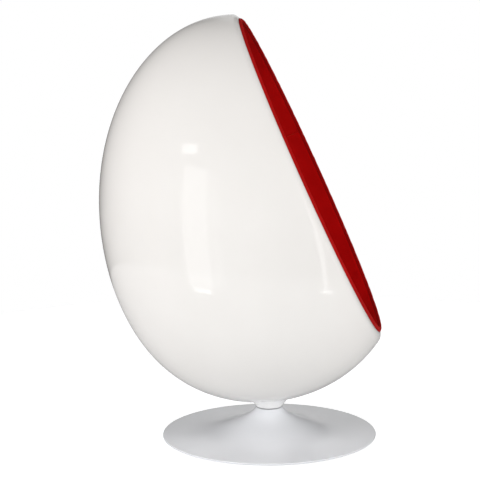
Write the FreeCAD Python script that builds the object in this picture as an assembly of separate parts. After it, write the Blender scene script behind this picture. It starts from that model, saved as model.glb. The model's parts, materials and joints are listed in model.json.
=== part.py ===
"""Swivel egg armchair: a white egg shell with a red upholstered bowl, turning on a trumpet base.

Millimetres. The origin is on the floor on the swivel axis, +Z is up and the sitter faces -Y.
The shell is a body of revolution about an axis that leans back, cut open by one flat plane.
Every layer inside it is the same egg again, inset square to the outer face.
"""
import FreeCAD, Part
import math
import os

os.makedirs("parts", exist_ok=True)
V = FreeCAD.Vector
ORIGIN = V(0, 0, 0)
UP = V(0, 0, 1)
ACROSS = V(1, 0, 0)

# Clearances
glue_line = 0.2
rest_gap = 0.3
slip_fit = 0.05
hole_clearance = 0.4
overrun = 20.0

# Egg shell: half length, radius, and how the radius swells and tapers along the length
egg_half_length = 573.1
egg_radius = 445.4
egg_taper_shares = (-0.0696, 0.0515, -0.0416)
egg_lean_deg = 9.33
egg_setback = 51.0
shell_wall = 5.0
opening_lean_deg = 24.14
opening_offset = 200.7
lip_round = 14.0
lip_width = 11.5
lip_depth = 10.0

# Lining of the bowl
lining_foam_thickness = 13.0
fabric_thickness = 1.6
hood_seam_rise = 102.0
back_panel_half_width = 190.0
seam_gap = 0.4

# Upholstered roll inside the lip of the opening
roll_height = 7.0
roll_setback = 11.0
roll_corner = 3.3

# Foam seat inside the bowl, as shares of the egg: a raked platform and the ledge under the back cushion
platform_rise_share = 0.26546
platform_rake_deg = 5.0
ledge_behind_share = 0.36327
ledge_rise_share = 0.47154

# Trumpet base, from the neck out to the rim
base_height = 87.0
base_radius = 319.0
neck_radius = 38.5
neck_round = 1.0
base_wall = 4.0
top_plate = 10.0
rim_height = 7.0
foot_width = 19.0
foot_gap = 1.5
flare_out_shares = (0.0, 0.049, 0.131, 0.257, 0.401, 0.545, 0.743, 1.0)
flare_up_shares = (1.0, 0.812, 0.628, 0.444, 0.256, 0.141, 0.062, 0.0)

# Rubber ring under the rim
glide_width = 8.0
glide_inset = 7.0
glide_depth = 2.0

# Ballast disc under the trumpet
ballast_radius = 165.0
ballast_thickness = 10.0
ballast_floor_gap = 4.0
ballast_eye_radius = 45.0
boss_radius = 10.0
boss_circle = 125.0
boss_start_deg = 45.0
ballast_screw_radius = 4.0
ballast_screw_head_radius = 8.0
ballast_screw_head_height = 4.5
ballast_screw_bite = 12.0
ballast_screw_count = 4

# Spindle: a journal that rises from a flange under the top plate
spindle_radius = 15.0
spindle_flange_radius = 32.0
spindle_flange = 8.0
spindle_end = 4.0
spindle_chamfer = 1.5
clip_groove_depth = 1.2
spindle_bolt_radius = 3.0
spindle_bolt_head_radius = 5.0
spindle_bolt_head_height = 6.0
spindle_bolt_circle = 23.5
spindle_bolt_bite = 7.0
spindle_bolt_count = 4

# Thrust ball bearing between the trumpet and the hub
ball_radius = 3.0
ball_circle = 23.0
ball_count = 12
race_half_width = 7.0
race_thickness = 4.0
groove_depth = 1.0
cage_thickness = 2.4
cage_half_width = 5.0
pocket_clearance = 0.1

# Swivel hub, its bushes and what holds it on the spindle
hub_radius = 24.0
hub_height = 105.0
bush_wall = 2.0
bush_length = 22.0
hub_flange_radius = 48.0
hub_flange = 6.0
hub_bolt_circle = 37.0
hub_bolt_radius = 4.0
hub_bolt_head_radius = 6.5
hub_bolt_head_height = 5.3
hub_bolt_count = 6
washer_radius = 23.0
washer_thickness = 2.0
clip_radius = 19.0
clip_thickness = 1.8
clip_opening = 8.0

# Mounting board bonded into the foot of the shell
shell_above_hub = 18.5
shell_hole_clearance = 2.0
board_radius = 130.0
board_rise = 32.0
tee_nut_flange_radius = 9.5
tee_nut_flange = 1.5
tee_nut_barrel_radius = 5.3
tee_nut_barrel = 12.0
bolt_end = 0.5
hub_cavity_wall = 6.0

# Neck fairing under the shell
fairing_gap = 3.0
fairing_wall = 3.0
fairing_top_radius = 70.0
fairing_top_rise = 8.5
fairing_out_shares = (0.0, 0.21, 0.403, 0.71, 1.0)
fairing_up_shares = (0.0, 0.234, 0.455, 0.74, 1.0)
fairing_web_eye_radius = 32.0
fairing_web = 3.0
fairing_boss_radius = 4.5
fairing_boss_height = 7.2
fairing_screw_radius = 2.0
fairing_screw_head_radius = 3.8
fairing_screw_head_height = 2.6
fairing_screw_bite = 4.5
fairing_screw_circle = 40.0
fairing_screw_count = 3

# Cushions, sized as shares of the egg: fabric cover, foam core, and a piping cord round the widest line
cover_thickness = 1.5
piping_radius = 4.0
seat_half_width_share = 0.70295
seat_half_depth_share = 0.5578
seat_corner_share = 0.3401
seat_turns_deg = (45.0, 64.0)
seat_half_thickness = 62.0
seat_flat_share = 0.80
seat_edge_gap = 3.0
back_half_width_share = 0.5714
back_half_height_share = 0.3877
back_corner_share = 0.2721
back_turns_deg = (31.0, 67.0)
back_crown = 46.0
back_fill = 150.0
back_lean_deg = 14.0
back_setback = 118.0
back_wall_gap = 0.8

# Section of a cushion: how far through its half thickness, and how far its outline draws in
crown_shares = (0.0, 0.30, 0.55, 0.75, 0.88, 0.96, 1.0)
crown_power = 2.6
crown_draw_share = 0.80


def disc(radius, low, high):
    return Part.makeCylinder(radius, high - low, V(0, 0, low), UP)


def ring(inner, outer, low, high):
    return disc(outer, low, high).cut(disc(inner, low - overrun, high + overrun))


def spun(edges):
    """A solid of revolution about the swivel axis."""
    return Part.Face(Part.Wire(edges)).revolve(ORIGIN, UP, 360)


def path(*points):
    return [Part.makeLine(a, b) for a, b in zip(points, points[1:])]


def curve_through(points):
    curve = Part.BSplineCurve()
    curve.interpolate(Points=points)
    return curve


def around(shape, circle, count, start_deg=0.0):
    """A shape made on the swivel axis, copied evenly round a circle."""
    copies = []
    for i in range(count):
        copy = shape.copy()
        copy.translate(V(circle, 0, 0))
        copy.rotate(ORIGIN, UP, start_deg + 360.0 * i / count)
        copies.append(copy)
    return copies


def save(name, *shapes):
    solids = [solid for shape in shapes for solid in shape.Solids]
    whole = solids[0] if len(solids) == 1 else Part.makeCompound(solids)
    whole.exportStep("parts/" + name + ".step")
    box = whole.BoundBox
    print(
        f"{name}: {len(solids)} solid, {whole.Volume / 1000:.1f} cm3, valid {whole.isValid()},"
        f" y {box.YMin:.1f} {box.YMax:.1f}, z {box.ZMin:.1f} {box.ZMax:.1f}"
    )


# The egg: profile, solids, and the blocks that cut it

egg_lean = math.radians(egg_lean_deg)
egg_pole = V(0, math.sin(egg_lean), math.cos(egg_lean))
opening_lean = math.radians(opening_lean_deg)
opening_normal = V(0, -math.cos(opening_lean), math.sin(opening_lean))
opening_rise = V(0, math.sin(opening_lean), math.cos(opening_lean))
profile_steps = 16
opening_steps = 14
roll_corner_steps = 4
lip_round_steps = 6


def swell(along):
    first, second, third = egg_taper_shares
    return 1 + first * along + second * along ** 2 + third * along ** 3


def swell_rate(along):
    first, second, third = egg_taper_shares
    return first + 2 * second * along + 3 * third * along ** 2


def egg_point(turn, inset):
    """Radius and height on the egg's own axis: turn 0 is the foot, pi the crown, and past it the far side."""
    along = -math.cos(turn)
    radius = egg_radius * math.sin(turn) * swell(along)
    radius_rate = egg_radius * (math.cos(turn) * swell(along) + math.sin(turn) ** 2 * swell_rate(along))
    height_rate = egg_half_length * math.sin(turn)
    slope = math.hypot(radius_rate, height_rate)
    return (
        radius - inset * height_rate / slope,
        egg_half_length * along + inset * radius_rate / slope,
    )


def foot_depth():
    """How far the underside, on the swivel axis, lies below the egg's middle."""
    low = 0.0
    high = 2 * egg_half_length
    for _ in range(60):
        depth = (low + high) / 2
        from_middle = V(0, -egg_setback, -depth)
        height = from_middle.dot(egg_pole)
        off_axis = (from_middle - egg_pole * height).Length
        along = max(-1.0, min(1.0, height / egg_half_length))
        if off_axis < egg_radius * math.sqrt(1 - along ** 2) * swell(along):
            low = depth
        else:
            high = depth
    return depth


bearing_height = 2 * (race_thickness + ball_radius - groove_depth)
hub_low = base_height + bearing_height
hub_high = hub_low + hub_height
shell_foot = hub_low + shell_above_hub
egg_middle = V(0, egg_setback, shell_foot + foot_depth())
egg_solids = {}


def egg(inset):
    """The solid egg, inset square to the shell's outer face."""
    if inset not in egg_solids:
        turns = [math.pi * (0.5 + step / profile_steps) for step in range(2 * profile_steps + 1)]
        points = []
        for turn in turns[:-1]:
            radius, height = egg_point(turn, inset)
            points.append(V(radius, 0, height))
        profile = Part.BSplineCurve()
        profile.interpolate(Points=points, PeriodicFlag=True, Parameters=turns)
        half = profile.toShape(math.pi, 2 * math.pi)
        axis = Part.makeLine(half.Vertexes[-1].Point, half.Vertexes[0].Point)
        right = Part.Face(Part.Wire([half, axis])).revolve(ORIGIN, UP, 180)
        left = right.copy()
        left.rotate(ORIGIN, UP, 180)
        solid = right.fuse(left)
        solid.rotate(ORIGIN, ACROSS, -egg_lean_deg)
        solid.translate(egg_middle)
        egg_solids[inset] = solid
    return egg_solids[inset]


reach = 2 * (egg_radius + egg_half_length)


def block(corner_x, corner_y, corner_z):
    """A block far larger than the chair, with its lowest corner given."""
    return Part.makeBox(reach, reach, reach, V(corner_x, corner_y, corner_z))


def beyond_opening(lift):
    """Everything in front of the opening plane, moved out by a lift."""
    solid = block(-reach / 2, -reach / 2, 0)
    solid.rotate(ORIGIN, ACROSS, 90 - opening_lean_deg)
    solid.translate(egg_middle + opening_normal * (opening_offset + lift))
    return solid


def above_hood_seam(shift):
    """Everything above the seam plane, which stands square to the opening plane."""
    solid = block(-reach / 2, -reach / 2, 0)
    solid.rotate(ORIGIN, ACROSS, -opening_lean_deg)
    solid.translate(egg_middle + opening_rise * (hood_seam_rise + shift))
    return solid


def above(height):
    return block(-reach / 2, -reach / 2, height)


platform_height = shell_foot + egg_half_length * platform_rise_share
ledge_height = shell_foot + egg_half_length * ledge_rise_share
ledge_setback = egg_setback + egg_radius * ledge_behind_share
platform_rake = math.radians(platform_rake_deg)


def seat_space(grow):
    """Everything under the platform and the ledge, both lifted square to their faces."""
    face = ledge_setback - grow

    def platform(y):
        return platform_height - math.tan(platform_rake) * y + grow / math.cos(platform_rake)

    corners = [
        V(-reach, -reach, -reach),
        V(-reach, -reach, platform(-reach)),
        V(-reach, face, platform(face)),
        V(-reach, face, ledge_height + grow),
        V(-reach, reach, ledge_height + grow),
        V(-reach, reach, -reach),
    ]
    return Part.Face(Part.Wire(path(*corners, corners[0]))).extrude(ACROSS * (2 * reach))


# Trumpet base and what is fastened under it

nose_radius = (rim_height - foot_gap) / 2
rim_edge = base_radius - nose_radius
flare_points = [
    V(neck_radius + out * (rim_edge - neck_radius), 0, rim_height + up * (base_height - rim_height))
    for out, up in zip(flare_out_shares, flare_up_shares)
]
flare = curve_through(flare_points)
plate_low = base_height - top_plate
foot_inner = base_radius - foot_width
glide_high_radius = base_radius - glide_inset
glide_low_radius = glide_high_radius - glide_width
ballast_high = ballast_floor_gap + ballast_thickness


def flare_inner_point(point):
    tangent = flare.tangent(flare.parameter(point))[0]
    return point + V(tangent.z, 0, -tangent.x) * base_wall


def trumpet():
    nose_low = V(rim_edge, 0, foot_gap)
    nose = Part.Arc(flare_points[-1], V(base_radius, 0, foot_gap + nose_radius), nose_low)
    outside = spun(
        [flare.toShape(), nose.toShape()]
        + path(nose_low, V(0, 0, foot_gap), V(0, 0, base_height), flare_points[0])
    )
    neck_edges = [
        edge
        for edge in outside.Edges
        if abs(edge.BoundBox.ZMin - base_height) < slip_fit
        and abs(edge.BoundBox.XMax - neck_radius) < slip_fit
    ]
    outside = outside.makeFillet(neck_round, neck_edges)
    inner_points = [flare_inner_point(point) for point in flare_points]
    start = inner_points[0]
    end = inner_points[-1]
    hollow = spun(
        [curve_through(inner_points).toShape()]
        + path(end, V(end.x, 0, -overrun), V(0, 0, -overrun), V(0, 0, start.z), start)
    )
    hollow = hollow.common(disc(foot_inner, -overrun, plate_low))
    boss = disc(boss_radius, ballast_high, base_height)
    bosses = around(boss, boss_circle, ballast_screw_count, boss_start_deg)
    body = outside.cut(hollow).fuse([copy.common(outside) for copy in bosses])
    groove = ring(glide_low_radius, glide_high_radius, -overrun, foot_gap + glide_depth)
    bore = disc(spindle_radius + slip_fit, -overrun, base_height + overrun)
    screw_end = ballast_high + ballast_screw_bite + slip_fit
    screw_hole = disc(ballast_screw_radius + slip_fit, ballast_high - overrun, screw_end)
    bolt_end_height = plate_low + spindle_bolt_bite + slip_fit
    bolt_hole = disc(spindle_bolt_radius + slip_fit, plate_low - overrun, bolt_end_height)
    cuts = [groove, bore]
    cuts += around(screw_hole, boss_circle, ballast_screw_count, boss_start_deg)
    cuts += around(bolt_hole, spindle_bolt_circle, spindle_bolt_count)
    return body.cut(cuts).removeSplitter()


def ballast():
    plate = ring(ballast_eye_radius, ballast_radius, ballast_floor_gap, ballast_high)
    recess = disc(
        ballast_screw_head_radius + hole_clearance,
        ballast_floor_gap - overrun,
        ballast_floor_gap + ballast_screw_head_height,
    )
    hole = disc(ballast_screw_radius + hole_clearance, ballast_floor_gap - overrun, ballast_high + overrun)
    return plate.cut(around(recess.fuse(hole), boss_circle, ballast_screw_count, boss_start_deg))


def ballast_screw():
    head = disc(ballast_screw_head_radius, ballast_floor_gap, ballast_floor_gap + ballast_screw_head_height)
    shank = disc(ballast_screw_radius, ballast_floor_gap, ballast_high + ballast_screw_bite)
    return head.fuse(shank).removeSplitter()


spindle_low = plate_low - spindle_flange
washer_low = hub_high + rest_gap
washer_high = washer_low + washer_thickness
clip_low = washer_high + glue_line
spindle_high = clip_low + clip_thickness + spindle_end


def spindle():
    flange = disc(spindle_flange_radius, spindle_low, plate_low)
    journal = disc(spindle_radius, spindle_low, spindle_high - spindle_chamfer)
    tip = Part.makeCone(
        spindle_radius,
        spindle_radius - spindle_chamfer,
        spindle_chamfer,
        V(0, 0, spindle_high - spindle_chamfer),
        UP,
    )
    groove = ring(
        spindle_radius - clip_groove_depth,
        spindle_radius + overrun,
        clip_low - slip_fit,
        clip_low + clip_thickness + slip_fit,
    )
    hole = disc(spindle_bolt_radius + hole_clearance, spindle_low - overrun, plate_low + overrun)
    cuts = [groove] + around(hole, spindle_bolt_circle, spindle_bolt_count)
    return flange.fuse([journal, tip]).cut(cuts).removeSplitter()


def spindle_bolt():
    head = disc(spindle_bolt_head_radius, spindle_low - spindle_bolt_head_height, spindle_low)
    shank = disc(spindle_bolt_radius, spindle_low - spindle_bolt_head_height, plate_low + spindle_bolt_bite)
    return head.fuse(shank).removeSplitter()


def clip():
    body = ring(
        spindle_radius - clip_groove_depth + slip_fit,
        clip_radius,
        clip_low,
        clip_low + clip_thickness,
    )
    slot = Part.makeBox(
        clip_radius + overrun,
        clip_opening,
        clip_thickness + 2 * overrun,
        V(0, -clip_opening / 2, clip_low - overrun),
    )
    return body.cut(slot)


# Thrust bearing

ball_height = base_height + race_thickness + ball_radius - groove_depth
race_inner = ball_circle - race_half_width
race_outer = ball_circle + race_half_width


def race(low):
    groove = Part.makeTorus(ball_circle, ball_radius + slip_fit, V(0, 0, ball_height), UP)
    return ring(race_inner, race_outer, low, low + race_thickness).cut(groove)


def cage():
    body = ring(
        ball_circle - cage_half_width,
        ball_circle + cage_half_width,
        ball_height - cage_thickness / 2,
        ball_height + cage_thickness / 2,
    )
    pocket = disc(ball_radius + pocket_clearance, base_height, hub_low)
    return body.cut(around(pocket, ball_circle, ball_count))


# Hub, board and fairing under the shell

flange_high = shell_foot + hub_flange
board_high = shell_foot + board_rise
bore_radius = spindle_radius + slip_fit + bush_wall
web_high = shell_foot - fairing_boss_height
web_low = web_high - fairing_web
fairing_low = base_height + fairing_gap
fairing_high = shell_foot + fairing_top_rise
fairing_start_deg = 180.0 / hub_bolt_count


def hub():
    tube = disc(hub_radius, hub_low, hub_high)
    flange = disc(hub_flange_radius, shell_foot, flange_high)
    bolt_hole = disc(hub_bolt_radius + hole_clearance, shell_foot - overrun, flange_high + overrun)
    screw_end = shell_foot + fairing_screw_bite + slip_fit
    screw_hole = disc(fairing_screw_radius + slip_fit, shell_foot - overrun, screw_end)
    cuts = [disc(bore_radius, hub_low - overrun, hub_high + overrun)]
    cuts += around(bolt_hole, hub_bolt_circle, hub_bolt_count)
    cuts += around(screw_hole, fairing_screw_circle, fairing_screw_count, fairing_start_deg)
    return tube.fuse(flange).cut(cuts).removeSplitter()


def bush(low):
    return ring(spindle_radius + slip_fit, bore_radius, low, low + bush_length)


def hub_bolt():
    head = disc(hub_bolt_head_radius, shell_foot - hub_bolt_head_height, shell_foot)
    shank = disc(hub_bolt_radius, shell_foot - hub_bolt_head_height, board_high + bolt_end)
    return head.fuse(shank).removeSplitter()


def tee_nut():
    flange = disc(tee_nut_flange_radius, board_high, board_high + tee_nut_flange)
    barrel = disc(tee_nut_barrel_radius, board_high - tee_nut_barrel, board_high)
    bore = disc(hub_bolt_radius + slip_fit, shell_foot, board_high + overrun)
    return flange.fuse(barrel).cut(bore).removeSplitter()


def board():
    slab = disc(board_radius, shell_foot - overrun, board_high)
    hole = disc(hub_bolt_radius + hole_clearance, shell_foot - overrun, board_high + overrun)
    nut_hole = disc(tee_nut_barrel_radius + slip_fit, board_high - tee_nut_barrel, board_high + overrun)
    cuts = [
        disc(hub_radius + hole_clearance, shell_foot - overrun, board_high + overrun),
        disc(hub_flange_radius + shell_hole_clearance, shell_foot - overrun, flange_high),
    ]
    cuts += around(hole.fuse(nut_hole), hub_bolt_circle, hub_bolt_count)
    return slab.common(egg(shell_wall + glue_line)).cut(cuts)


def fairing_body(wall):
    """The flared neck, filled to its axis, with a wall's thickness trimmed off its radius."""
    points = []
    for out, up in zip(fairing_out_shares, fairing_up_shares):
        radius = neck_radius + out * (fairing_top_radius - neck_radius) - wall
        points.append(V(radius, 0, fairing_low + up * (fairing_high - fairing_low)))
    return spun(
        [curve_through(points).toShape()]
        + path(points[-1], V(0, 0, fairing_high), V(0, 0, fairing_low), points[0])
    )


def fairing():
    outside = fairing_body(0)
    hollow = fairing_body(fairing_wall)
    web = ring(fairing_web_eye_radius, fairing_top_radius, web_low, web_high).common(outside)
    boss = disc(fairing_boss_radius, web_low, shell_foot)
    bosses = around(boss, fairing_screw_circle, fairing_screw_count, fairing_start_deg)
    hole = disc(fairing_screw_radius + hole_clearance, web_low - overrun, shell_foot + overrun)
    holes = around(hole, fairing_screw_circle, fairing_screw_count, fairing_start_deg)
    body = outside.cut(hollow).fuse([web] + bosses).cut(holes)
    return body.cut(egg(-glue_line))


def fairing_screw():
    head = disc(fairing_screw_head_radius, web_low - fairing_screw_head_height, web_low)
    shank = disc(fairing_screw_radius, web_low - fairing_screw_head_height, shell_foot + fairing_screw_bite)
    return head.fuse(shank).removeSplitter()


# Shell, foam and fabric: insets are counted in from the shell's outer face

foam_inset = shell_wall + glue_line
foam_face = foam_inset + lining_foam_thickness
fabric_inset = foam_face + glue_line
fabric_face = fabric_inset + fabric_thickness
deck_grow = glue_line + fabric_thickness


def opening_point(inset, lift, angle):
    """The point of an inset egg on the lifted opening plane, at an angle seen from the sitter's left."""
    level = egg_middle.dot(opening_normal) + opening_offset + lift
    middle = egg_middle + opening_normal * (opening_offset + lift)
    outward = V(0, egg_pole.z, -egg_pole.y)
    low = 0.0
    high = math.pi
    for _ in range(50):
        turn = (low + high) / 2
        radius, height = egg_point(turn, inset)
        on_axis = egg_middle + egg_pole * height
        side = (level - on_axis.dot(opening_normal)) / (radius * outward.dot(opening_normal))
        across = math.sqrt(max(0.0, 1 - side ** 2))
        point = on_axis + outward * (radius * side) + ACROSS * (radius * across)
        rise = (point - middle).dot(opening_rise)
        if across == 0:
            below = turn < math.pi / 2
        else:
            below = math.atan2(rise, point.x) < angle
        if below:
            low = turn
        else:
            high = turn
    return V(point.x, point.y, point.z)


def opening_wire(inset, lift):
    """The closed curve in which an inset egg meets the lifted opening plane."""
    points = []
    for step in range(2 * opening_steps):
        angle = math.pi * (step / opening_steps - 0.5)
        if step <= opening_steps:
            points.append(opening_point(inset, lift, angle))
        else:
            point = opening_point(inset, lift, math.pi - angle)
            points.append(V(-point.x, point.y, point.z))
    points[0].x = 0
    points[opening_steps].x = 0
    curve = Part.BSplineCurve()
    curve.interpolate(Points=points, PeriodicFlag=True)
    return Part.Wire(curve.toShape())


def under_lip(grow):
    """The room that the lip of the shell takes up behind the opening plane."""
    return beyond_opening(-lip_depth - grow).cut(egg(lip_width + grow))


def lip_outside():
    """What rounds the outer corner of the lip away."""
    step_turn = math.pi / 2 / lip_round_steps
    wires = []
    for step in range(-1, lip_round_steps + 1):
        turn = step_turn * step
        inset = lip_round * (1 - math.cos(turn))
        if step < 0:
            inset = -inset
        wires.append(opening_wire(inset, lip_round * (math.sin(turn) - 1)))
    core = Part.makeLoft(wires, True, True)
    return beyond_opening(-lip_round * (1 + math.sin(step_turn / 2))).cut(core)


def shell():
    hole = disc(hub_flange_radius + shell_hole_clearance, base_height, flange_high + overrun)
    cavity = egg(shell_wall).cut(under_lip(0))
    return egg(0).cut([cavity, beyond_opening(0), hole]).cut(lip_outside())


def seat_foam():
    board_room = disc(board_radius + glue_line, 0, board_high + glue_line)
    nut_room = disc(hub_flange_radius, board_high, board_high + tee_nut_flange + glue_line)
    tube_room = disc(hub_radius + hub_cavity_wall, board_high, spindle_high + hub_cavity_wall)
    body = egg(foam_inset).common(seat_space(0))
    return body.cut([beyond_opening(-glue_line), under_lip(glue_line), board_room, nut_room, tube_room])


def lining_foam():
    wall = egg(foam_inset).cut([egg(foam_face), beyond_opening(-glue_line), under_lip(glue_line)])
    return wall.cut(seat_space(glue_line))


def seat_lining():
    skin = seat_space(deck_grow).cut(seat_space(glue_line))
    return egg(fabric_inset).common(skin).cut(beyond_opening(-glue_line))


def lining_panels():
    """Fabric on the walls of the bowl: the hood, the middle of the back and the two sides."""
    room = [egg(fabric_face), beyond_opening(-glue_line), seat_space(deck_grow + glue_line)]
    skin = egg(fabric_inset).cut(room)
    hood = skin.common(above_hood_seam(seam_gap / 2))
    lower = skin.cut(above_hood_seam(-seam_gap / 2))
    strip = Part.makeBox(2 * back_panel_half_width, reach, reach, V(-back_panel_half_width, 0, 0))
    wide = back_panel_half_width + seam_gap
    wide_strip = Part.makeBox(2 * wide, reach, reach, V(-wide, 0, 0))
    back = lower.common(strip)
    sides = lower.cut(wide_strip)
    right = sides.common(block(seam_gap / 2, -reach / 2, 0))
    left = sides.common(block(-reach - seam_gap / 2, -reach / 2, 0))
    return hood, back, left, right


def rim_roll():
    """The roll that covers the edges of the lip and the lining, proud of the opening plane."""
    inner = fabric_face + glue_line
    turns = [math.pi / 2 * step / roll_corner_steps for step in range(roll_corner_steps + 1)]
    shoulder = glue_line + roll_height - roll_corner
    outer_wires = [opening_wire(roll_setback, glue_line)]
    inner_wires = [opening_wire(inner, glue_line - roll_corner)]
    for turn in turns:
        lift = shoulder + roll_corner * math.sin(turn)
        draw = roll_corner * (1 - math.cos(turn))
        outer_wires.append(opening_wire(roll_setback + draw, lift))
        inner_wires.append(opening_wire(inner - draw, lift))
    inner_wires.append(opening_wire(inner - roll_corner, shoulder + 2 * roll_corner))
    return Part.makeLoft(outer_wires, True, True).cut(Part.makeLoft(inner_wires, True, True))


# Cushions


def outline(half_x, half_y, corner, turns_deg, height):
    """A rounded outline with bowed sides: eight arcs that run into each other.

    Each corner arc runs between two turns, and the arcs of the sides have the radii that meet it there.
    """
    start, end = [math.radians(turn) for turn in turns_deg]
    along_x = half_x + corner * (math.cos(end) - math.cos(start))
    along_y = half_y + corner * (math.sin(start) - math.sin(end))
    start_rise = 1 - math.cos(start)
    end_rise = 1 - math.sin(end)
    spread = start_rise * end_rise - math.cos(end) * math.sin(start)
    side_x = (along_x * end_rise - along_y * math.cos(end)) / spread
    centre_x = half_x - side_x + (side_x - corner) * math.cos(start)
    centre_y = (side_x - corner) * math.sin(start)
    ends = [
        V(centre_x + corner * math.cos(turn), centre_y + corner * math.sin(turn), 0)
        for turn in (start, (start + end) / 2, end)
    ]

    def placed(point, sign_x, sign_y):
        return V(sign_x * point.x, sign_y * point.y, height)

    edges = []
    for sign_x, sign_y in ((1, 1), (-1, 1), (-1, -1), (1, -1)):
        corner_points = [placed(point, sign_x, sign_y) for point in ends]
        if sign_x * sign_y > 0:
            side = V(sign_x * half_x, 0, height)
            before = placed(ends[0], sign_x, -sign_y)
        else:
            corner_points.reverse()
            side = V(0, sign_y * half_y, height)
            before = placed(ends[2], -sign_x, sign_y)
        edges.append(Part.Arc(before, side, corner_points[0]).toShape())
        edges.append(Part.Arc(*corner_points).toShape())
    return Part.Wire(edges)


def cushion(half_x, half_y, corner, turns_deg, crown, depth, inset):
    """A crowned pad about z = 0, with a crown above and a depth below, inset all round."""
    levels = [(-share, depth - inset) for share in reversed(crown_shares[1:])]
    levels += [(share, crown - inset) for share in crown_shares]
    wires = []
    for share, thickness in levels:
        draw = 1 - (1 - abs(share) ** crown_power) ** (1 / crown_power)
        size = 1 - draw * crown_draw_share
        sides = [size * (side - inset) for side in (half_x, half_y, corner)]
        wires.append(outline(*sides, turns_deg, share * thickness))
    return Part.makeLoft(wires, True, True)


def piping(half_x, half_y, corner, turns_deg):
    """A cord laid round the widest line, just clear of the cover."""
    out = piping_radius + glue_line
    line = outline(half_x + out, half_y + out, corner + out, turns_deg, 0)
    start = line.OrderedVertexes[0].Point
    direction = line.OrderedEdges[0].tangentAt(line.OrderedEdges[0].FirstParameter)
    section = Part.Wire(Part.makeCircle(piping_radius, start, direction))
    return line.makePipeShell([section], True, False)


seat_half_depth = egg_radius * seat_half_depth_share
seat_size = (
    egg_radius * seat_half_width_share,
    seat_half_depth,
    egg_radius * seat_corner_share,
    seat_turns_deg,
)
back_half_height = egg_half_length * back_half_height_share
back_size = (
    egg_radius * back_half_width_share,
    back_half_height,
    egg_radius * back_corner_share,
    back_turns_deg,
)
deck_stack = deck_grow + rest_gap
seat_lift = seat_flat_share * seat_half_thickness
seat_edge = seat_half_depth + piping_radius + glue_line
seat_edge_limit = ledge_setback - deck_grow - seat_edge_gap - piping_radius
seat_middle = (seat_edge_limit - seat_lift * math.sin(platform_rake)) / math.cos(platform_rake) - seat_edge
back_lean = math.radians(back_lean_deg)
back_middle = V(
    0,
    ledge_setback + back_setback,
    ledge_height + deck_stack + (back_half_height + 2 * piping_radius + glue_line) * math.cos(back_lean)
    + piping_radius,
)


def seat_placed(solid):
    solid.translate(V(0, seat_middle, seat_lift))
    solid.rotate(ORIGIN, ACROSS, -platform_rake_deg)
    solid.translate(V(0, 0, platform_height + deck_stack / math.cos(platform_rake)))
    return solid


def back_placed(solid):
    solid.rotate(ORIGIN, ACROSS, 90 - back_lean_deg)
    solid.translate(back_middle)
    return solid


def seat_pad(inset):
    flat = above(inset - seat_lift)
    pad = cushion(*seat_size, seat_half_thickness, seat_half_thickness, inset).common(flat)
    return seat_placed(pad)


def back_pad(inset):
    pad = back_placed(cushion(*back_size, back_crown, back_fill, inset))
    behind = egg(fabric_face + back_wall_gap + inset)
    return pad.common(behind).common(above(ledge_height + deck_stack + inset))


save("pedestal_base", trumpet())
save("floor_ring", ring(glide_low_radius + slip_fit, glide_high_radius - slip_fit, 0, foot_gap + glide_depth))
save("ballast_plate", ballast())
save("ballast_screws", *around(ballast_screw(), boss_circle, ballast_screw_count, boss_start_deg))
save("spindle", spindle())
save("spindle_bolts", *around(spindle_bolt(), spindle_bolt_circle, spindle_bolt_count))
save("lower_race", race(base_height))
save("thrust_washer", ring(spindle_radius + slip_fit, washer_radius, washer_low, washer_high))
save("retaining_clip", clip())
save("ball_cage", cage())
save("bearing_balls", *around(Part.makeSphere(ball_radius, V(0, 0, ball_height)), ball_circle, ball_count))
save("upper_race", race(hub_low - race_thickness))
save("swivel_hub", hub())
save("lower_bush", bush(hub_low))
save("upper_bush", bush(hub_high - bush_length))
save("hub_bolts", *around(hub_bolt(), hub_bolt_circle, hub_bolt_count))
save("tee_nuts", *around(tee_nut(), hub_bolt_circle, hub_bolt_count))
save("mount_board", board())
save("neck_fairing", fairing())
save("fairing_screws", *around(fairing_screw(), fairing_screw_circle, fairing_screw_count, fairing_start_deg))
save("egg_shell", shell())
save("seat_foam", seat_foam())
save("lining_foam", lining_foam())
save("seat_lining", seat_lining())
for name, panel in zip(("hood_lining", "back_lining", "left_lining", "right_lining"), lining_panels()):
    save(name, panel)
save("rim_trim", rim_roll())
save("seat_cushion_cover", seat_pad(0).cut(seat_pad(cover_thickness)))
save("seat_cushion_core", seat_pad(cover_thickness + glue_line))
save("seat_cushion_piping", seat_placed(piping(*seat_size)))
save("back_cushion_cover", back_pad(0).cut(back_pad(cover_thickness)))
save("back_cushion_core", back_pad(cover_thickness + glue_line))
save("back_cushion_piping", back_placed(piping(*back_size)))
print("egg middle", egg_middle, "shell foot", shell_foot, "back middle", back_middle)
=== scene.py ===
"""Looks of the swivel egg armchair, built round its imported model.

Metres, in the model's own frame: the origin is on the floor on the swivel axis, +Z is up and the
sitter faces -Y. Every layer of the shell is the same egg, inset square to the shell's outer face.
"""

import json
import math

import bmesh
import bpy
import numpy as np
from mathutils import Matrix, Quaternion, Vector


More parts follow.
